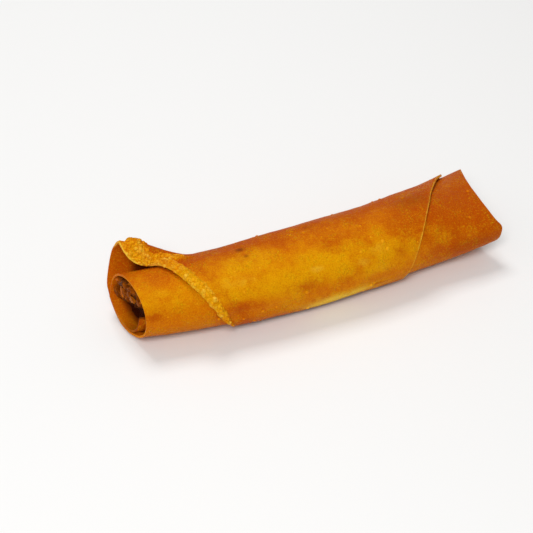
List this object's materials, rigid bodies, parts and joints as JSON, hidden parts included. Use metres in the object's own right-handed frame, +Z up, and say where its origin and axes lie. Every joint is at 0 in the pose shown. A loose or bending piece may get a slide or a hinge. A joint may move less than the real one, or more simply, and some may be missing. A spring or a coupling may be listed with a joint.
{
  "type": "fried spring roll",
  "caption": "Long fried spring roll: a crisp pastry sheet rolled round a vegetable and meat filling, with an open mouth, a flared collar and a flattened end.",
  "frame": {"origin": "centre of the bounding box's footprint, on the surface that the roll rests on", "axes": "+X along the roll from the open mouth to the flattened end, -Y the front, which shows the loose edge of the sheet, +Z up"},
  "size_m": [0.1636, 0.047, 0.0322],
  "materials": {
    "pastry": "golden-brown fried pastry, dry and finely blistered, slightly oily",
    "filling": "moist cooked shreds and crumbs, brown and olive"
  },
  "bodies": {
    "root": {"wrapper": "pastry", "filling": "filling"}
  },
  "joints": []
}
